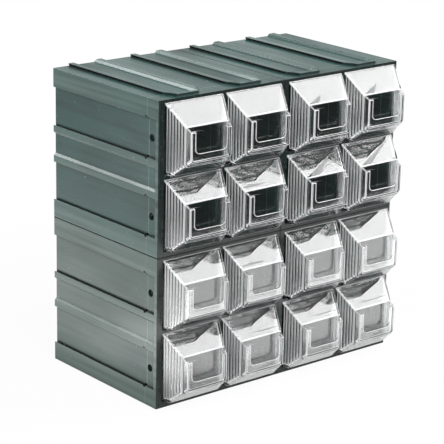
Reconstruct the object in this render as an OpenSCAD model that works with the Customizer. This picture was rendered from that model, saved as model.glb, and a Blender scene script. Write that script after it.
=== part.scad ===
// Parts bin cabinet: four moulded housings, keyed together two wide and two high, with sixteen clear drawers.
// X runs to the right, Y to the back and Z up. The origin is under the middle of the whole cabinet.

/* [Housing] */
// Width of one housing, without its keys
housing_w = 126; // [112:1:150]
// Height of one housing, without its keys
housing_h = 126; // [112:1:150]
// Depth of one housing
housing_d = 140; // [110:1:180]
// Left wall, which carries key slots
slot_wall = 5.8; // [5:0.1:7]
// Bottom wall, which carries key slots
bottom_wall = 4.4; // [4:0.1:6]
// Right wall, which carries keys
side_wall = 2.0; // [1.6:0.1:3]
// Top wall, which carries keys
top_wall = 2.2; // [1.6:0.1:3]
// Upright wall between the two columns
divider = 2.6; // [1.6:0.1:4]
// Shelf between the two rows
shelf = 2.0; // [1.6:0.1:4]
// Back wall
back_wall = 2.0; // [1.6:0.1:4]

/* [Keys and slots] */
// How far a key stands out of its wall
key_h = 2.0; // [1.4:0.1:2.2]
// Width of a key where it meets the wall
key_foot_w = 31.2; // [28:0.1:34]
// How much a key overhangs its foot on each side
key_flare = 1.1; // [0.6:0.1:1.6]
// Flat top of each of a key's two fins
fin_flat = 5.3; // [4:0.1:6.5]
// Width of a key's blunt front end
key_front_w = 21.2; // [16:0.1:26]
// Rim left in front of a key and of a slot
key_rim = 4; // [3:0.1:6]
// Length of a key's tapered front end
key_taper = 13; // [8:0.5:18]
// Wall that closes a key's front end
key_end_wall = 2; // [1.4:0.1:4]
// Gap between a key and the bottom and the front end of its slot
key_gap = 0.2; // [0.1:0.05:0.4]
// Gap between a key's foot and the lip of its slot
lip_gap = 0.3; // [0.2:0.05:0.5]

/* [Relief channel] */
// Width of the channel between two slots, at the face
channel_w = 20.2; // [14:0.1:24]
// Depth of the channel, whose sides slope at 45 degrees
channel_depth = 2.0; // [1:0.1:2.4]

/* [Peg holes] */
// Diameter of the hole in each slot
peg_hole_d = 6; // [3:0.1:8]
// Distance of the hole from the front
peg_hole_y = 11; // [9:0.1:14]
// Side of the square notch at the front end of each undercut
shutoff = 2.6; // [1:0.1:3]

/* [Drawer] */
// Gap on each side of a drawer in its bay
side_gap = 0.4; // [0.3:0.05:0.8]
// Gap under a drawer
under_gap = 0.2; // [0.1:0.05:0.4]
// Gap over a drawer
over_gap = 0.5; // [0.3:0.05:1]
// Gap behind a drawer
rear_gap = 2; // [1:0.5:10]
// Thickness of a drawer's walls and floor
drawer_wall = 1.8; // [1.2:0.1:2.4]
// Rounding along the bottom corners of a drawer, outside
drawer_round = 2.8; // [1:0.1:4]
// Rounding along the bottom corners of a drawer, inside
inner_round = 3.6; // [1:0.1:5]

/* [Drawer nose] */
// How far the hopper stands out in front of the housing, without its label holder
hopper_d = 16.4; // [12:0.2:22]
// How much the hopper narrows on each side
hopper_taper = 7; // [3:0.1:9]
// How far the hood falls by the hopper's front
hood_drop = 16.6; // [10:0.1:20]
// How far forward the floor runs before it turns up
lip_start = 5; // [2:0.1:8]
// Round ribs inside each side of the hopper
flute_count = 6; // [3:1:8]
// Radius of a rib, which is half round
flute_r = 0.75; // [0.3:0.05:0.9]

/* [Label holder] */
// Gap that a label slides into
label_gap = 3.8; // [1:0.1:5]
// Thickness of the rim in front of the label
rim_t = 1.6; // [1:0.1:2]
// Step from the hopper's front corners in to the holder's sides and down to their tops
holder_step = 0.6; // [0.1:0.05:1]
// How much the holder narrows on each side
holder_taper = 0.9; // [0.2:0.1:2]
// How far the tops of the holder's sides fall
holder_drop = 3.1; // [1:0.1:6]
// How far the underside rises by the holder's front
lip_rise = 14; // [8:0.1:18]
// Width of the rim beside the label
rim_side = 4.7; // [3:0.1:6]
// Height of the rim under the label
rim_under = 6.6; // [3:0.1:8]
// Rounding of the rim's two lower inner corners
rim_corner = 4; // [1:0.1:6]
// Rounding of the rim's two top ends
rim_end_round = 1.8; // [0.5:0.1:3]
// Rounding of the holder's lower corners
holder_round = 2; // [0.5:0.1:4]

/* [Hidden] */
$fn = 48;
round_cuts = 3; // flat cuts that make up one rounded corner
over = 1; // how far a cut runs past the face it opens

housing_green = [0.29, 0.34, 0.32];
crystal = [0.86, 0.89, 0.90, 0.45];

// Bays and the drawers that fit them
bay_w = (housing_w - slot_wall - divider - side_wall) / 2;
bay_h = (housing_h - bottom_wall - shelf - top_wall) / 2;
bay_d = housing_d - back_wall;
drawer_w = bay_w - 2 * side_gap;
drawer_h = bay_h - under_gap - over_gap;
drawer_d = bay_d - rear_gap;
half_w = drawer_w / 2;

// Nose: a slope is the change in height or half width per millimetre forward
nose_d = hopper_d + label_gap + rim_t;
hood_slope = hood_drop / hopper_d;
side_slope = hopper_taper / hopper_d;
lip_slope = lip_rise / (nose_d - lip_start);
holder_d = label_gap + rim_t;
holder_w = drawer_w - 2 * (hopper_taper + holder_step);
holder_h = drawer_h - hood_drop - holder_step;
holder_slope = holder_taper / holder_d;
holder_root = drawer_wall / 2; // how far the holder's sides and floor run into the hopper's front wall
rim_half_w = holder_w / 2 - holder_taper;

// Keys and slots
foot = key_foot_w / 2;
tip = foot + key_flare;
fin_foot = tip - fin_flat - key_h; // half the width between the fins, at the wall
slot_depth = key_h + key_gap;
slot_mouth = foot + lip_gap;
undercut_y = key_rim + key_taper * (foot - key_front_w / 2) / (tip - key_front_w / 2);
row_centres = [housing_h / 4, housing_h * 3 / 4];
column_centres = [housing_w / 4, housing_w * 3 / 4];

// Where the cabinet stands: the origin is the bottom centre of its whole box.
centre_x = (2 * housing_w + key_h) / 2;
centre_y = (housing_d - nose_d) / 2;

// An extrusion of an XZ outline from y0 to y1
module along_y(y0, y1) {
    translate([0, y1, 0]) rotate([90, 0, 0]) linear_extrude(y1 - y0) children();
}

// Everything beyond the plane through a point, on the side that its normal n points to
module beyond(point, n, inset = 0) {
    reach = 2 * (housing_d + housing_h);
    unit = n / norm(n);
    translate(point - inset * unit)
        rotate([0, acos(unit.z), atan2(unit.y, unit.x)])
            translate([-reach / 2, -reach / 2, 0])
                cube(reach);
}

// Rounds the edge through a point between planes with normals n1 and n2, both first moved inwards by inset
module round_edge(point, n1, n2, radius, inset = 0) {
    u1 = n1 / norm(n1);
    u2 = n2 / norm(n2);
    centre = point - (inset + radius) / (1 + u1 * u2) * (u1 + u2);
    for (i = [1:round_cuts]) {
        turn = i / (round_cuts + 1);
        n = (1 - turn) * u1 + turn * u2;
        beyond(centre + radius * n / norm(n), n);
    }
}

// Both hands of a shape that stands on the right
module both_sides() {
    children();
    mirror([1, 0, 0]) children();
}

// ---- Keys and slots, drawn on a face that looks up, centred on X = 0 ----

// Two undercut fins joined by a blunt front end
module key() {
    difference() {
        linear_extrude(key_h)
            polygon([
                [-key_front_w / 2, key_rim], [key_front_w / 2, key_rim],
                [tip, key_rim + key_taper], [tip, housing_d],
                [-tip, housing_d], [-tip, key_rim + key_taper]
            ]);
        both_sides() along_y(undercut_y, housing_d + over)
            polygon([[foot, 0], [tip, key_h], [tip + over, key_h], [tip + over, -over], [foot, -over]]);
        along_y(key_rim + key_end_wall, housing_d + over)
            polygon([
                [-fin_foot, 0], [-fin_foot, -over], [fin_foot, -over], [fin_foot, 0],
                [fin_foot + key_h + over, key_h + over], [-fin_foot - key_h - over, key_h + over]
            ]);
    }
}

// The space that a key slides into, cut down from the face, with its peg hole and square notches
module slot(wall) {
    front = key_rim - key_gap;
    along_y(front, housing_d + over)
        polygon([[-slot_mouth, over], [slot_mouth, over], [slot_mouth, -slot_depth], [-slot_mouth, -slot_depth]]);
    along_y(undercut_y - key_gap, housing_d + over)
        polygon([
            [-slot_mouth, 0], [slot_mouth, 0],
            [slot_mouth + key_flare, -slot_depth], [-slot_mouth - key_flare, -slot_depth]
        ]);
    translate([0, peg_hole_y, -wall - over]) cylinder(h = wall + 2 * over, d = peg_hole_d);
    both_sides()
        translate([slot_mouth - shutoff / 2, undercut_y - key_gap, -wall - over])
            cube([shutoff, shutoff, wall + 2 * over]);
}

// The shallow channel between two slots
module relief_channel() {
    floor_half = channel_w / 2 - channel_depth;
    along_y(key_rim, housing_d + over)
        polygon([
            [-channel_w / 2 - over, over], [channel_w / 2 + over, over],
            [floor_half, -channel_depth], [-floor_half, -channel_depth]
        ]);
}

// Places a face shape on each wall of a housing
module on_top(x) { translate([x, 0, housing_h]) children(); }
module on_right(z) { translate([housing_w, 0, z]) rotate([0, 90, 0]) children(); }
module on_left(z) { translate([0, 0, z]) rotate([0, -90, 0]) children(); }
module on_bottom(x) { translate([x, 0, 0]) rotate([0, 180, 0]) children(); }

// ---- Housing ----

module housing() {
    difference() {
        union() {
            cube([housing_w, housing_d, housing_h]);
            for (x = column_centres) on_top(x) key();
            for (z = row_centres) on_right(z) key();
        }
        for (column = [0, 1], row = [0, 1])
            translate([bay_x(column), -over, bay_z(row)]) cube([bay_w, bay_d + over, bay_h]);
        for (z = row_centres) on_left(z) slot(slot_wall);
        for (x = column_centres) on_bottom(x) slot(bottom_wall);
        on_left(housing_h / 2) relief_channel();
        on_bottom(housing_w / 2) relief_channel();
    }
}

// Left and lower edges of a bay inside its housing, counted from the left and from the bottom
function bay_x(column) = slot_wall + column * (bay_w + divider);
function bay_z(row) = bottom_wall + row * (bay_h + shelf);

// ---- Drawer: X = 0 is its middle, Y = 0 the housing's front and Z = 0 its underside ----

// Outward normals of a drawer's right side, of its hopper's, of its floor, and of its upturned lip
side_out = [1, 0, 0];
hopper_out = [1, -side_slope, 0];
floor_out = [0, 0, -1];
lip_out = [0, -lip_slope, -1];

// Cuts away what lies below the lip
module below_lip(inset) { beyond([0, -lip_start, 0], lip_out, inset); }

// The box and its hopper as one convex form, with each wall moved inwards by inset and rounded bottom corners
module drawer_form(inset, radius, top) {
    foot_edge = [half_w, 0, 0]; // where box, hopper and floor meet
    lip_edge = [half_w - side_slope * lip_start, -lip_start, 0]; // where hopper, floor and lip meet
    difference() {
        translate([-half_w + inset, -hopper_d + inset, inset])
            cube([drawer_w - 2 * inset, hopper_d + drawer_d - 2 * inset, top - inset]);
        below_lip(inset);
        beyond([0, 0, drawer_h], [0, -hood_slope, 1], inset);
        both_sides() {
            beyond(foot_edge, hopper_out, inset);
            round_edge(foot_edge, side_out, floor_out, radius, inset);
            round_edge(foot_edge, hopper_out, floor_out, radius, inset);
            round_edge(lip_edge, hopper_out, lip_out, radius, inset);
        }
    }
}

// Half the hopper's width at a distance forward of the housing, less a depth into its side
function side_x(forward, depth) = half_w - side_slope * forward - depth * norm([1, side_slope]);

// Upright half-round ribs inside one side of the hopper
module flutes() {
    pitch = (hopper_d - drawer_wall) / flute_count;
    linear_extrude(drawer_h)
        for (i = [0.5:flute_count])
            translate([side_x(i * pitch, drawer_wall), -i * pitch]) circle(flute_r, $fn = 16);
}

// Outward normal of the label holder's right side
holder_out = [1, -holder_slope, 0];

// The label holder's form, from its front to a distance forward of the housing, with its sides and floor
// moved inwards by inset
module holder_form(inset, front, rear, top) {
    difference() {
        translate([-holder_w / 2 + inset, -front, 0]) cube([holder_w - 2 * inset, front - rear, top]);
        below_lip(inset);
        both_sides() {
            beyond([holder_w / 2, -hopper_d, 0], holder_out, inset);
            round_edge([rim_half_w, -nose_d, lip_rise], holder_out, lip_out, holder_round, inset);
        }
    }
}

// Opening of the label rim: a U with two round corners, open at the top, between two round ends
module rim_window() {
    half = rim_half_w - rim_side;
    sill = lip_rise + rim_under;
    end_z = holder_h - holder_drop * label_gap / holder_d - rim_end_round;
    translate([-half, sill + rim_corner]) square([2 * half, drawer_h]);
    translate([rim_corner - half, sill]) square([2 * (half - rim_corner), rim_corner + over]);
    for (side = [-1, 1]) {
        translate([side * (half - rim_corner), sill + rim_corner]) circle(rim_corner);
        difference() {
            translate([side * half - rim_end_round, end_z]) square([2 * rim_end_round, drawer_h]);
            translate([side * (half + rim_end_round), end_z]) circle(rim_end_round);
        }
    }
}

module label_holder() {
    difference() {
        holder_form(0, nose_d, hopper_d - holder_root, holder_h);
        beyond([0, -hopper_d, holder_h], [0, -holder_drop / holder_d, 1]);
        holder_form(drawer_wall, nose_d - rim_t, hopper_d - holder_root - over, drawer_h);
        along_y(-nose_d - over, -hopper_d) rim_window();
    }
}

module drawer_body() {
    difference() {
        drawer_form(0, drawer_round, drawer_h);
        difference() {
            drawer_form(drawer_wall, inner_round, drawer_h + over);
            both_sides() flutes();
        }
    }
    label_holder();
}

// ---- Placing: housings count from the lower left, drawer rows from the top and columns from the left ----

module place_housing(across, up) {
    translate([across * housing_w - centre_x, -centre_y, up * housing_h])
        color(housing_green) housing();
}

module drawer(row, column) {
    up = 4 - row;
    across = column - 1;
    x = floor(across / 2) * housing_w + bay_x(across % 2) + bay_w / 2;
    z = floor(up / 2) * housing_h + bay_z(up % 2) + under_gap;
    translate([x - centre_x, -centre_y, z]) color(crystal) drawer_body();
}

place_housing(0, 1);  // housing_upper_left
place_housing(1, 1);  // housing_upper_right
place_housing(0, 0);  // housing_lower_left
place_housing(1, 0);  // housing_lower_right
drawer(1, 1);  // drawer_row1_col1
drawer(1, 2);  // drawer_row1_col2
drawer(1, 3);  // drawer_row1_col3
drawer(1, 4);  // drawer_row1_col4
drawer(2, 1);  // drawer_row2_col1
drawer(2, 2);  // drawer_row2_col2
drawer(2, 3);  // drawer_row2_col3
drawer(2, 4);  // drawer_row2_col4
drawer(3, 1);  // drawer_row3_col1
drawer(3, 2);  // drawer_row3_col2
drawer(3, 3);  // drawer_row3_col3
drawer(3, 4);  // drawer_row3_col4
drawer(4, 1);  // drawer_row4_col1
drawer(4, 2);  // drawer_row4_col2
drawer(4, 3);  // drawer_row4_col3
drawer(4, 4);  // drawer_row4_col4
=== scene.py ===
# %% [markdown]
# # A parts cabinet of keyed housings and clear hooded drawers
# The cabinet is four identical mouldings of dark green plastic, slid together by undercut keys,
# with sixteen drawers of clear polystyrene. Its look comes from two things: a satin plastic that
# mirrors the lit table softly, and clear walls of real thickness, whose edges, flutes and corners
# bend the light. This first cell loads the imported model, which fixes every size and place, and
# keeps its bounding box.

# %% Load the frame
import math

import bpy
import numpy as np
from mathutils import Matrix, Vector

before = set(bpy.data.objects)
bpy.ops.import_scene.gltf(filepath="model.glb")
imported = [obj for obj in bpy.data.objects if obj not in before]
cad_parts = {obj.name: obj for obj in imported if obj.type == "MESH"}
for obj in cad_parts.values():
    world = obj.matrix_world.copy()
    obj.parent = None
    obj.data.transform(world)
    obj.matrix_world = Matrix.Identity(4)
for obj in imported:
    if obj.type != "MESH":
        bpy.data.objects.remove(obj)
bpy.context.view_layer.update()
MM = 0.001  # the frame is in metres, and most sizes below are in millimetres
HOUSINGS = [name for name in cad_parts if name.startswith("housing")]
DRAWERS = [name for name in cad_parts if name.startswith("drawer")]
print("housings:", len(HOUSINGS), "drawers:", len(DRAWERS))

# %% [markdown]
# ## Colours and shader nodes
# Colours are easiest to judge as the hex values that a screen shows, but Blender mixes light in
# linear values, so one function turns the first into the second. A second function adds a shader
# node, sets its sockets and links them, which keeps each material below short enough to read at a
# glance. A Mix node calls its sockets A and B whether it mixes numbers or colours, so a name
# doesn't tell them apart, and the ones used here go by their position instead.

# %% Helpers for colours and nodes
NUMBER_A, NUMBER_B = 2, 3                 # sockets of a Mix node that mixes numbers
COLOUR_A, COLOUR_B, COLOUR_OUT = 6, 7, 2  # and of one that mixes colours


def linear(hex_colour):
    """An sRGB hex colour as linear RGBA, with v from 0 to 1: v/12.92 below 0.04045, and
    ((v + 0.055)/1.055) to the power 2.4 from there on."""
    rgb = [int(hex_colour[i:i + 2], 16) / 255 for i in (1, 3, 5)]
    return tuple(v / 12.92 if v < 0.04045 else ((v + 0.055) / 1.055) ** 2.4 for v in rgb) + (1.0,)


def add(tree, kind, inputs=None, **settings):
    """Adds a node of that kind. inputs maps a socket's name or number to a value or to another
    node's output, and settings are the node's own properties."""
    node = tree.nodes.new(kind)
    for name, value in settings.items():
        setattr(node, name, value)
    for name, value in (inputs or {}).items():
        socket = node.inputs[name]
        if isinstance(value, bpy.types.NodeSocket):
            tree.links.new(value, socket)
        else:
            socket.default_value = value
    return node


def new_material(name):
    """An empty material and its node tree, with an output node ready to be linked."""
    material = bpy.data.materials.new(name)
    material.use_nodes = True
    tree = material.node_tree
    tree.nodes.clear()
    return material, tree, tree.nodes.new("ShaderNodeOutputMaterial")


print("mid grey #808080 is", round(linear("#808080")[0], 3), "in linear light")

# %% [markdown]
# ## Camera
# The camera stands to the left and a little above, far away with a long lens, so that verticals
# stay almost parallel. It could be placed by three coordinates and three angles, but what it looks
# at, a direction and a distance say the same in the way that a tripod is set up. The small roll is
# the tilt of the tripod's head.

# %% Camera
TARGET = Vector((-3.71, 10.9, 116.42)) * MM
AZIMUTH, ELEVATION, ROLL = math.radians(-39.96), math.radians(17.106), math.radians(1.185)
DISTANCE = 1596.3 * MM
FOCAL_LENGTH, SENSOR_WIDTH = 153.24, 36  # mm


def camera_turn(azimuth, elevation, roll):
    """The direction back to the camera, and the rotation whose -Z looks along the view and whose X
    and Y are turned by the roll round that line of sight."""
    back = Vector((math.sin(azimuth) * math.cos(elevation),
                   -math.cos(azimuth) * math.cos(elevation), math.sin(elevation)))
    right = Vector((math.cos(azimuth), math.sin(azimuth), 0))
    up = back.cross(right)
    rolled_right = right * math.cos(roll) + up * math.sin(roll)
    rolled_up = up * math.cos(roll) - right * math.sin(roll)
    return back, Matrix((rolled_right, rolled_up, back)).transposed()


lens = bpy.data.cameras.new("camera")
lens.lens, lens.sensor_width = FOCAL_LENGTH, SENSOR_WIDTH
camera = bpy.data.objects.new("camera", lens)
bpy.context.collection.objects.link(camera)
back, turn = camera_turn(AZIMUTH, ELEVATION, ROLL)
camera.matrix_world = Matrix.Translation(TARGET + back * DISTANCE) @ turn.to_4x4()
bpy.context.scene.camera = camera
bpy.context.scene.view_settings.view_transform = "Standard"
print("camera at", [round(v, 3) for v in camera.matrix_world.translation])

# %% [markdown]
# ## Studio
# A clear moulding shows its surroundings more than itself, so the studio is laid out as for
# glassware. Point lamps would be simpler, but gloss would show them as dots, and a soft box gives
# it a broad even patch. One high in front is mirrored by every sloping hood, and one over the
# camera lights the fronts. Two lamps serve the mirrors alone: the one behind draws bright lines
# along the keys, and the one at the side draws the cut edges. The fill at the left is the other
# way round: it lights the green, and no gloss shows it.

# %% Lamps
WHITE = linear("#ffffff")
CENTRE = (0, 0, 0.13)                          # metres, as all the lamps' places and sizes are
HOOD_MIRROR = Vector((0.614, -0.302, 0.729))   # where a hood at 45 degrees sends the camera's view
HOOD_BOX = Vector(CENTRE) + HOOD_MIRROR * 1.1  # 1.1 m away in that direction


def area_lamp(name, place, aim, size, radiance):
    """A rectangular lamp. Its power is radiance x pi x area, so that at radiance 1 its face looks
    as bright as white paper."""
    data = bpy.data.lights.new(name, "AREA")
    data.shape = "RECTANGLE"
    data.size, data.size_y = size
    data.energy = radiance * math.pi * size[0] * size[1]
    lamp = bpy.data.objects.new(name, data)
    bpy.context.collection.objects.link(lamp)
    facing = (Vector(place) - Vector(aim)).to_track_quat("Z", "Y").to_matrix().to_4x4()
    lamp.matrix_world = Matrix.Translation(place) @ facing
    lamp.visible_camera = False
    return lamp


area_lamp("soft box in front", HOOD_BOX, CENTRE, (0.62, 0.6), 6.2)
area_lamp("soft box over the camera", (-0.12, -0.95, 1.0), CENTRE, (0.7, 0.6), 8.0)
behind = area_lamp("soft box behind", (-0.45, 0.75, 0.86), (-0.05, 0, 0.2), (0.5, 0.6), 9.5)
side = area_lamp("strip at the side", (1.15, -0.25, 0.42), (0, -0.05, 0.15), (0.35, 0.5), 14.0)
behind.visible_diffuse = side.visible_diffuse = False
fill = area_lamp("fill at the left", (-1.2, 0.4, 0.7), CENTRE, (1.0, 1.0), 3.4)
fill.visible_glossy = fill.visible_transmission = False

# %% [markdown]
# ## World
# The world can be one strength for all, but then a white backdrop would also flood the object with
# light. The Light Path node tells rays apart: the backdrop is pale to the camera, to gloss and
# through clear plastic, and it is a weak lamp to everything else.

# %% World
WORLD_LAMP, WORLD_MIRRORED, WORLD_SEEN = 0.15, 0.7, 1.0  # strengths, where 1 is white

world = bpy.data.worlds.new("white studio")
bpy.context.scene.world = world
world.use_nodes = True
sky = world.node_tree
sky.nodes.clear()
path = add(sky, "ShaderNodeLightPath")
backdrop = add(sky, "ShaderNodeBackground", {"Color": WHITE, "Strength": WORLD_LAMP})
for ray, strength in (("Is Glossy Ray", WORLD_MIRRORED), ("Is Transmission Ray", WORLD_MIRRORED),
                      ("Is Camera Ray", WORLD_SEEN)):
    seen = add(sky, "ShaderNodeBackground", {"Color": WHITE, "Strength": strength})
    backdrop = add(sky, "ShaderNodeMixShader", {
        0: path.outputs[ray], 1: backdrop.outputs[0], 2: seen.outputs[0]})
add(sky, "ShaderNodeOutputWorld", {"Surface": backdrop.outputs[0]})
print("world: lamp", WORLD_LAMP, "mirrored", WORLD_MIRRORED, "backdrop", WORLD_SEEN)

# %% [markdown]
# ## What the table shows in the gloss
# The cabinet stands on a light table, which is lit from below in panels, as a product studio lays
# bright and dark cards round glassware: low drawers mirror the bright panels and turn silver, and
# high ones mirror the dark cloth in front and stay clear. Cards could be modelled, but panels on
# one sheet can't get in the way of the light. Each panel is a strength and a few soft edges, and
# their sum is the table's brightness.

# %% Table panels
TABLE_SEEN = 0.9  # the table's own brightness in the gloss, where 1 is white
BESIDE = [("X", -0.15, -0.22), ("Y", -0.22, -0.14), ("Y", 0.16, 0.02)]
PANELS = {  # strength above the table's own, then each edge's axis and the metres of 0 and of 1
    "in front": (2.3, [("X", -0.10, -0.02), ("Y", -0.105, -0.145)]),
    "dark card at the left": (-0.6, BESIDE),
    "bright card at the left": (4.2, BESIDE + [("X", -0.66, -0.3)]),
    "behind at the left": (2.1, [("X", -0.13, -0.18), ("X", -0.46, -0.26),
                                 ("Y", -0.06, 0.03), ("Y", 0.9, 0.45)]),
    "far behind at the left": (2.6, [("X", -0.46, -0.56), ("X", -0.95, -0.80),
                                     ("Y", 0.33, 0.42), ("Y", 0.72, 0.50)]),
}
CLOTH_EDGE, CLOTH = (-0.46, -0.34), 0.03  # metres in Y where cloth turns to table; its brightness


def panel_light(tree, place):
    """The table's own brightness plus, for each panel, its strength x the product of its smooth
    steps. The sum is then multiplied by one smooth step that falls to the dark cloth."""
    level = TABLE_SEEN
    for strength, edges in PANELS.values():
        share = strength
        for axis, start, full in edges:
            step = add(tree, "ShaderNodeMapRange", {
                "Value": place.outputs[axis], "From Min": start, "From Max": full},
                interpolation_type="SMOOTHSTEP").outputs[0]
            share = add(tree, "ShaderNodeMath", {0: share, 1: step},
                        operation="MULTIPLY").outputs[0]
        level = add(tree, "ShaderNodeMath", {0: level, 1: share}, operation="ADD").outputs[0]
    cloth = add(tree, "ShaderNodeMapRange", {
        "Value": place.outputs["Y"], "From Min": CLOTH_EDGE[0], "From Max": CLOTH_EDGE[1],
        "To Min": CLOTH}, interpolation_type="SMOOTHSTEP").outputs[0]
    return add(tree, "ShaderNodeMath", {0: level, 1: cloth}, operation="MULTIPLY").outputs[0]


print("panels on the table:", list(PANELS))

# %% [markdown]
# ## White paper, lit from below
# To the eye the table is white paper with the cabinet's soft shadow. Plain paper would do for that,
# but it would also have to be very bright to look white, and its light would drown the object. So
# the material asks the Light Path node what kind of ray has come: the camera sees paper that turns
# to plain white further out, gloss and clear plastic see the panels, and every other ray finds an
# even, weak lamp. From below it is clear, so that the cabinet's underside can be seen.

# %% Table material
TABLE_LAMP = 0.35                                   # brightness to every other ray
PAPER = "#f6f6f6"                                   # matt white, where the shadow falls
SHADOW_NEAR, SHADOW_FAR = (0.2, 0.95), (0.55, 1.0)  # metres away, and the share of plain white


def table_top(name):
    """Paper to the camera, the panels to gloss and clear plastic, and a weak lamp to the rest."""
    material, tree, output = new_material(name)
    ray = add(tree, "ShaderNodeLightPath").outputs
    place = add(tree, "ShaderNodeTexCoord").outputs["Object"]
    panels = panel_light(tree, add(tree, "ShaderNodeSeparateXYZ", {0: place}))
    mirrored = add(tree, "ShaderNodeMath", {0: ray["Is Glossy Ray"], 1: ray["Is Transmission Ray"]},
                   operation="MAXIMUM").outputs[0]
    level = add(tree, "ShaderNodeMix", {
        "Factor": mirrored, NUMBER_A: TABLE_LAMP, NUMBER_B: panels}, data_type="FLOAT").outputs[0]
    glow = add(tree, "ShaderNodeEmission", {"Color": WHITE, "Strength": level})
    away = add(tree, "ShaderNodeVectorMath", {0: place}, operation="LENGTH").outputs["Value"]
    share = add(tree, "ShaderNodeMapRange", {
        "Value": away, "From Min": SHADOW_NEAR[0], "From Max": SHADOW_FAR[0],
        "To Min": SHADOW_NEAR[1], "To Max": SHADOW_FAR[1]}, interpolation_type="SMOOTHSTEP")
    paper = add(tree, "ShaderNodeBsdfDiffuse", {"Color": linear(PAPER)})
    white = add(tree, "ShaderNodeEmission", {"Color": WHITE, "Strength": 1.0})
    sight = add(tree, "ShaderNodeMixShader", {
        0: share.outputs[0], 1: paper.outputs[0], 2: white.outputs[0]})
    top = add(tree, "ShaderNodeMixShader", {
        0: ray["Is Camera Ray"], 1: glow.outputs[0], 2: sight.outputs[0]})
    below = add(tree, "ShaderNodeNewGeometry").outputs["Backfacing"]
    through = add(tree, "ShaderNodeBsdfTransparent")
    both = add(tree, "ShaderNodeMixShader", {0: below, 1: top.outputs[0], 2: through.outputs[0]})
    tree.links.new(both.outputs[0], output.inputs["Surface"])
    return material


print("table as a lamp:", TABLE_LAMP, "and its shadow ends", SHADOW_FAR[0], "m away")

# %% [markdown]
# ## Table and floor
# The sheet goes on far past the table, so that no edge shows. One large sheet could do for both,
# but Cycles aims rays at whatever glows, and rays aimed at the far floor would be wasted. So the
# table is a sheet of its own, and the floor is a frame round it that no rays are aimed at. Both lie
# a tenth of a millimetre low, because two faces in one plane show as specks of each.

# %% Table
TABLE_HALF, FLOOR_HALF = 1.0, 6.0  # metres from the middle to the edge
TABLE_Z = -0.1                     # mm


def sheet(name, half, hole=0.0):
    """A square of that half width on the ground, or a square frame round a square hole, facing up:
    the four corners (-1, -1), (1, -1), (1, 1), (-1, 1) times each half width."""
    corners = np.array([(-1, -1), (1, -1), (1, 1), (-1, 1)], float)
    points = np.full((8 if hole else 4, 3), TABLE_Z * MM)
    points[:4, :2] = corners * half
    if hole:
        points[4:, :2] = corners * hole
    frame_faces = [(i, (i + 1) % 4, 4 + (i + 1) % 4, 4 + i) for i in range(4)]
    mesh = bpy.data.meshes.new(name)
    mesh.from_pydata(points.tolist(), [], frame_faces if hole else [(0, 1, 2, 3)])
    thing = bpy.data.objects.new(name, mesh)
    bpy.context.collection.objects.link(thing)
    thing.data.materials.append(table_top(name))
    return thing


table = sheet("white table, lit from below", TABLE_HALF)
surround = sheet("white paper floor", FLOOR_HALF, TABLE_HALF)
surround.data.materials[0].cycles.emission_sampling = "NONE"
print("table:", table.dimensions[0], "m wide, floor:", surround.dimensions[0], "m wide")

# %% [markdown]
# ## Housing plastic: what the mould leaves
# The housings are injection-moulded polypropylene, coloured dark green in the mass. The melt runs
# from one end of the mould to the other, which leaves lighter and darker streaks along the depth,
# and the wall cools unevenly, which leaves clouds of more and less shine. A picture of such a
# surface could be wrapped on, but noise repeats nowhere and follows every face. Each noise is
# scaled in millimetres along X, Y and Z, so streaks are simply a noise that is long in Y.

# %% Patterns of the moulding
PATTERNS = {  # millimetres across, along and across the flow, then the noise's detail
    "streaks": ((4, 200, 4), 2.0),
    "clouds": ((30, 90, 30), 2.0),
    "grain": ((0.9, 0.9, 0.9), 1.0),   # the mould's is about 0.2 mm, drawn coarser so that it shows
    "specks": ((2.4, 2.4, 2.4), 0.0),  # dust lies where this one peaks, a few to a side
}
STREAKS_SHARE = 0.3  # of streaks in the melt's own pattern, and the rest is clouds


def moulding_patterns(tree, place):
    """A noise from 0 to 1 for each pattern, read at the place divided by the pattern's size, and
    the melt's own, which is clouds x (1 - share) + streaks x share."""
    found = {}
    for name, (size, detail) in PATTERNS.items():
        scaled = add(tree, "ShaderNodeMapping", {
            "Vector": place, "Scale": [1 / (v * MM) for v in size]}).outputs[0]
        found[name] = add(tree, "ShaderNodeTexNoise", {
            "Vector": scaled, "Scale": 1.0, "Detail": detail}).outputs["Fac"]
    found["melt"] = add(tree, "ShaderNodeMix", {
        "Factor": STREAKS_SHARE, NUMBER_A: found["clouds"], NUMBER_B: found["streaks"]},
        data_type="FLOAT").outputs[0]
    return found


print("patterns in mm:", {name: size for name, (size, _) in PATTERNS.items()})

# %% [markdown]
# ## Housing plastic: wear and painted light
# The bands and keys stand proud and rub against neighbours, so they are a little duller, and their
# paler, greyer streaks are scuffs and a painted highlight. The front of the frame round the drawers
# is darkened as painted shade, and undercuts and corners are darkened as painted shade too, while
# the joints are dark. Such marks could be painted by hand, but each has a plain rule: the proud
# planes and the frame are outer planes, so they are read from the place, and the painted shade lies
# wherever walls stand close together, which is what ambient occlusion measures.

# %% Wear on the housings
LEFT_X, KEY_X, KEY_Z = -125.8, 127.8, 253.8  # mm: outer planes of the left bands and of the keys
RUB_DEPTH = 0.4                              # mm below those planes where rubbing and its painted highlight end
SHADE_REACH, SHADE_RAYS = 5.0, 8               # mm to walls that cast the painted shade; rays sent to find them
SHADE_RANGE, SHADE_MOST = (0.55, 0.90), 0.95   # open sky, from the darkest painted shade to none; how dark it gets
JOINTS, JOINT_HALF = (("X", 0.0), ("Z", 126.0)), 0.45  # mm: the joints, and half a joint's width


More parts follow.
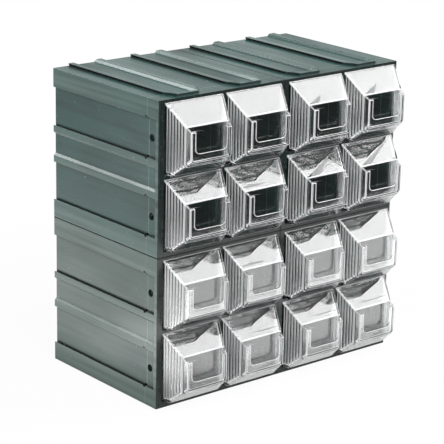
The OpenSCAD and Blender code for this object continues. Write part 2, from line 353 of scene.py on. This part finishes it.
def rubbed_and_highlit(tree, spot):
    """1 on the outer planes of bands and keys and 0 from RUB_DEPTH below them: the largest of
    three ramps. These planes are duller from rubbing and get scuffs with a painted highlight."""
    share = 0.0
    for axis, start, full in (("X", LEFT_X + RUB_DEPTH, LEFT_X), ("X", KEY_X - RUB_DEPTH, KEY_X),
                              ("Z", KEY_Z - RUB_DEPTH, KEY_Z)):
        proud = add(tree, "ShaderNodeMapRange", {
            "Value": spot.outputs[axis], "From Min": start * MM, "From Max": full * MM}).outputs[0]
        share = add(tree, "ShaderNodeMath", {0: share, 1: proud}, operation="MAXIMUM").outputs[0]
    return share


def shade_and_joints(tree, spot):
    """Painted shade in undercuts and corners plus the dark of the joints, from 0 in the open to 1:
    a ramp on how little open sky is seen, plus 1 wherever a joint is nearer than its half width."""
    open_sky = add(tree, "ShaderNodeAmbientOcclusion", {"Distance": SHADE_REACH * MM},
                   samples=SHADE_RAYS, only_local=True).outputs["AO"]
    share = add(tree, "ShaderNodeMapRange", {
        "Value": open_sky, "From Min": SHADE_RANGE[0], "From Max": SHADE_RANGE[1],
        "To Min": SHADE_MOST, "To Max": 0.0}).outputs[0]
    for axis, middle in JOINTS:
        joint = add(tree, "ShaderNodeMath", {
            0: spot.outputs[axis], 1: middle * MM, 2: JOINT_HALF * MM}, operation="COMPARE")
        share = add(tree, "ShaderNodeMath", {0: share, 1: joint.outputs[0]},
                    operation="ADD", use_clamp=True).outputs[0]
    return share


# the reach printed here is that of the painted shade in undercuts and corners
print("wear: rubbed to", RUB_DEPTH, "mm deep, dirt within", SHADE_REACH, "mm of a corner")

# %% [markdown]
# ## Housing plastic: its colour
# The layers go on one over another: the streaked green, scuffs with a painted highlight, the
# witness line where two plates of the mould met, painted paler as a highlight of its ridge, specks
# of dust, the front darkened as painted shade, and the painted shade of undercuts and corners with
# the dark joints. Each could be a shader of its own, mixed with the rest, but they are all colours
# on one plastic, so it is enough to lay each colour over the last by its share.

# %% Colour of the housings
UPPER_GREEN = ("#1a3632", "#37605a")    # deep and pale, of the upper mouldings
LOWER_LIT_GREEN = ("#2c423d", "#4a625b")  # of the lower mouldings, painted paler and greyer for the light the table throws
# the last colour on the next line is painted shade in undercuts and corners, and the dark of the
# joints
SCUFF_HIGHLIGHT, WITNESS_HIGHLIGHT, DUST, FRONT_SHADE, SHADE_AND_JOINT_COLOUR = "#7d8f88", "#64827a", "#c9d2cf", "#141817", "#040606"
GREEN_RANGE = (0.32, 0.68)            # of the melt's pattern, from deep green to pale
STREAK_RANGE, SCUFF_HIGHLIGHT_SHARE = (0.30, 0.70), (0.10, 0.50)  # of the streaks, and how much scuff and painted highlight they give
SPECK_RANGE, SPECK_COVER = (0.86, 0.88), 0.7      # of the specks, and how much their dust covers
FRONT_Y, FRONT_SHADE_DEPTH = -58.9, 0.3     # mm: the front frame's plane, and how deep its painted shade goes
FRONT_SHADE_COVER = 0.85                    # and how much of the green the painted shade covers
# the witness line is a small ridge of the mould, drawn as a paler stripe: a painted highlight
WITNESS_Y, WITNESS_HALF = -44.6, 0.4  # mm: the middle of the witness line, and half its width


def coloured(tree, spot, pattern, rubbed_and_highlit_share, shade_and_joint_share, deep, pale):
    """The deep green with each colour laid over it in turn, painted shade and painted highlights
    among them: under x (1 - share) + over x share.
    """
    ramps = {  # what is read, where the ramp starts and ends, and the layer's share there
        "pale": (pattern["melt"], GREEN_RANGE, (0.0, 1.0)),
        "scuff_highlight": (pattern["streaks"], STREAK_RANGE, SCUFF_HIGHLIGHT_SHARE),
        "dust": (pattern["specks"], SPECK_RANGE, (0.0, SPECK_COVER)),
        "front": (spot.outputs["Y"], ((FRONT_Y + FRONT_SHADE_DEPTH) * MM, FRONT_Y * MM),
                  (0.0, FRONT_SHADE_COVER)),
    }
    share = {}
    for layer, (value, (start, end), (least, most)) in ramps.items():
        share[layer] = add(tree, "ShaderNodeMapRange", {
            "Value": value, "From Min": start, "From Max": end,
            "To Min": least, "To Max": most}).outputs[0]
    scuff_highlight = add(tree, "ShaderNodeMath", {0: rubbed_and_highlit_share, 1: share["scuff_highlight"]}, operation="MULTIPLY")
    # the witness line's paler stripe, a painted highlight of its ridge
    line = add(tree, "ShaderNodeMath", {
        0: spot.outputs["Y"], 1: WITNESS_Y * MM, 2: WITNESS_HALF * MM}, operation="COMPARE")
    tone = linear(deep)
    for cover, colour in ((share["pale"], pale), (scuff_highlight.outputs[0], SCUFF_HIGHLIGHT),
                          (line.outputs[0], WITNESS_HIGHLIGHT), (share["dust"], DUST),
                          (share["front"], FRONT_SHADE), (shade_and_joint_share, SHADE_AND_JOINT_COLOUR)):
        tone = add(tree, "ShaderNodeMix", {
            "Factor": cover, COLOUR_A: tone, COLOUR_B: linear(colour)},
            data_type="RGBA").outputs[COLOUR_OUT]
    return tone


print("greens:", *UPPER_GREEN, "above and", *LOWER_LIT_GREEN, "below")

# %% [markdown]
# ## Housing plastic: its shine and relief
# Moulded polypropylene is satin. Its roughness could be one number, but then the shine would lie on
# it like film. Here it follows the melt's pattern, so that the shine is broken up as on a real
# moulding, a rubbed plane is a little duller, and the surface turns matt under the painted shade of
# undercuts and corners and on the dark joints, which dims their reflections too. Streaks and grain
# also stand up by hundredths of a millimetre. The mesh would need millions of faces for that, so
# two
# Bump nodes tilt the surface for the light alone.

# %% Shine and relief of the housings
SHINE_RANGE, SATIN = (0.3, 0.7), (0.40, 0.16)  # of the melt's pattern, and its roughness there
RUBBED_DULLER = 0.06                           # added to the roughness of a rubbed plane
WAVE, FINE = 0.03, 0.006                       # mm: how high streaks and grain stand


def roughened(tree, pattern, rubbed_and_highlit_share, shade_and_joint_share):
    """The satin's roughness + RUBBED_DULLER on the proud planes, and at least the share of
    painted shade and dark joints.
    """
    satin = add(tree, "ShaderNodeMapRange", {
        "Value": pattern["melt"], "From Min": SHINE_RANGE[0], "From Max": SHINE_RANGE[1],
        "To Min": SATIN[0], "To Max": SATIN[1]}).outputs[0]
    rough = add(tree, "ShaderNodeMath", {0: rubbed_and_highlit_share, 1: RUBBED_DULLER, 2: satin},
                operation="MULTIPLY_ADD").outputs[0]
    return add(tree, "ShaderNodeMath", {0: rough, 1: shade_and_joint_share}, operation="MAXIMUM").outputs[0]


def relief(tree, pattern):
    """The surface's normal, tilted by the slope of the streaks and then by that of the grain."""
    wave = add(tree, "ShaderNodeBump", {
        "Height": pattern["streaks"], "Strength": 1.0, "Distance": WAVE * MM}).outputs[0]
    return add(tree, "ShaderNodeBump", {
        "Height": pattern["grain"], "Strength": 1.0, "Distance": FINE * MM,
        "Normal": wave}).outputs[0]


print("satin: roughness", SATIN, "with waves", WAVE, "mm high")

# %% [markdown]
# ## Housing plastic: the material
# One Principled shader takes the colour, the roughness and the normal. The IOR of polypropylene is
# 1.49, close to the shader's own 1.5, and its gloss is set a little lower, because a moulded face
# is never quite clean. The lower housings are painted paler and greyer, as painted light for the
# light that the table throws on them. They could have a material of their own, but one function
# that takes the two greens makes both, and the wear stays the same.

# %% Housing plastic
HOUSING_IOR, HOUSING_GLOSS = 1.49, 0.4  # the gloss is the specular level, 0.5 by default


def housing_plastic(name, deep, pale):
    """Moulded polypropylene in two greens, with its layers of wear."""
    material, tree, output = new_material(name)
    place = add(tree, "ShaderNodeTexCoord").outputs["Object"]
    spot = add(tree, "ShaderNodeSeparateXYZ", {0: place})
    pattern = moulding_patterns(tree, place)
    rubbed_and_highlit_share, shade_and_joint_share = rubbed_and_highlit(tree, spot), shade_and_joints(tree, spot)
    shader = add(tree, "ShaderNodeBsdfPrincipled", {
        "Base Color": coloured(tree, spot, pattern, rubbed_and_highlit_share, shade_and_joint_share, deep, pale),
        "Roughness": roughened(tree, pattern, rubbed_and_highlit_share, shade_and_joint_share), "IOR": HOUSING_IOR,
        "Specular IOR Level": HOUSING_GLOSS, "Normal": relief(tree, pattern)})
    tree.links.new(shader.outputs[0], output.inputs["Surface"])
    return material


upper_plastic = housing_plastic("moulded polypropylene, dark green", *UPPER_GREEN)
# the lower housings' paler, greyer green is painted light for the light the table throws on them
lower_lit_plastic = housing_plastic("moulded polypropylene, dark green, painted_paler_below", *LOWER_LIT_GREEN)
print("housing plastics:", upper_plastic.name, "and", lower_lit_plastic.name)

# %% [markdown]
# ## Clear plastic
# The drawers are crystal polystyrene from a polished mould. It is clear with an IOR of 1.59, higher
# than window glass, so its edges and corners flash brightly. A thin-walled glass without refraction
# would render faster, but the walls here have their real thickness, and what makes such a drawer
# look moulded is the way its flutes and corners bend what lies behind. Refraction blocks lamps, so
# shadow rays pass by a plain transparent shader that dims them a little.

# %% Clear plastic
DRAWER_IOR = 1.59
CRYSTAL = "#fdfefe"      # tints the light at each surface that it crosses, so it is almost white
SHADOW_TINT = "#c4c8ca"  # how much light passes one surface on its way to what lies behind


def crystal():
    """Polished polystyrene: refraction, and plain transparency for shadow rays."""
    material, tree, output = new_material("polished polystyrene, clear")
    glass = add(tree, "ShaderNodeBsdfPrincipled", {
        "Base Color": linear(CRYSTAL), "Roughness": 0.0, "IOR": DRAWER_IOR,
        "Transmission Weight": 1.0})
    through = add(tree, "ShaderNodeBsdfTransparent", {"Color": linear(SHADOW_TINT)})
    shadow = add(tree, "ShaderNodeLightPath").outputs["Is Shadow Ray"]
    both = add(tree, "ShaderNodeMixShader", {0: shadow, 1: glass.outputs[0], 2: through.outputs[0]})
    tree.links.new(both.outputs[0], output.inputs["Surface"])
    return material


clear_plastic = crystal()
print("drawers:", clear_plastic.name)

# %% [markdown]
# ## Rounded edges of the clear plastic
# The rounded edges, the ribs and the label rim of clear drawers mirror the soft boxes and stand
# out as bright lines round each clear wall. Scratches could be a bump on the crystal, but at this
# size they melt into an even haze. Here the edges get a material of their own, an opaque pale white
# and satin: a painted highlight in place of those reflections. It is set by the Bevel modifier,
# which can give its new faces any slot of the piece.

# %% Painted edge highlight
# the drawers' rounds are painted an opaque pale white: a highlight for the soft boxes they mirror
EDGE_WHITE, EDGE_WHITE_ROUGHNESS = "#fafbfb", 0.35


def edge_highlight():
    """An opaque pale satin white, a painted highlight on the drawers' rounds."""
    material, tree, output = new_material("polystyrene edge, painted_highlight")
    haze = add(tree, "ShaderNodeBsdfPrincipled", {
        "Base Color": linear(EDGE_WHITE), "Roughness": EDGE_WHITE_ROUGHNESS, "IOR": DRAWER_IOR})
    tree.links.new(haze.outputs[0], output.inputs["Surface"])
    return material


edge_highlight_plastic = edge_highlight()
print("their edges:", edge_highlight_plastic.name)

# %% [markdown]
# ## Dressing the model
# No moulding has a knife edge: a mould's corners are a few tenths of a millimetre round, and a
# round edge catches light along its whole length. The exact edges of the model could be rounded in
# its source, but a Bevel modifier does it on the mesh and leaves the solids plain. The model's
# triangles don't share corners, so a Weld modifier joins them first. Only edges that turn by more
# than 30 degrees are rounded, which leaves flat faces and fine curves alone.

# %% Dress the model
HOUSING_EDGE, DRAWER_EDGE = 0.2, 0.33    # mm: width of the round
SAME_CORNER = 0.002                      # mm: corners closer than this are one
SHARP, EDGE_FACES = math.radians(30), 2  # the turn that counts as sharp, and faces in a round
AS_BESIDE, HIGHLIGHT_SLOT = -1, 1             # the slot that a round wears: its neighbour's, or slot 1, the painted white highlight


def dress(name, *materials):
    """Gives a CAD node its materials, the first of which all its faces wear."""
    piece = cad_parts[name]
    piece.data.materials.clear()
    for material in materials:
        piece.data.materials.append(material)
    return piece


def round_edges(piece, width, slot):
    """Joins the loose triangles at their corners and rounds each sharp edge."""
    weld = piece.modifiers.new("join corners", "WELD")
    weld.merge_threshold = SAME_CORNER * MM
    bevel = piece.modifiers.new("round edges", "BEVEL")
    bevel.width, bevel.segments = width * MM, EDGE_FACES
    bevel.limit_method, bevel.angle_limit = "ANGLE", SHARP
    bevel.use_clamp_overlap = False  # it would thin every round to suit the smallest face
    bevel.loop_slide = False         # it would leave spikes where the label rim ends
    bevel.harden_normals = True
    bevel.material = slot


for name in HOUSINGS:
    piece = dress(name, lower_lit_plastic if "lower" in name else upper_plastic)
    round_edges(piece, HOUSING_EDGE, AS_BESIDE)
for name in DRAWERS:
    # the drawers' rounds wear the painted white highlight in slot 1
    round_edges(dress(name, clear_plastic, edge_highlight_plastic), DRAWER_EDGE, HIGHLIGHT_SLOT)
print("dressed:", len(HOUSINGS) + len(DRAWERS), "pieces")
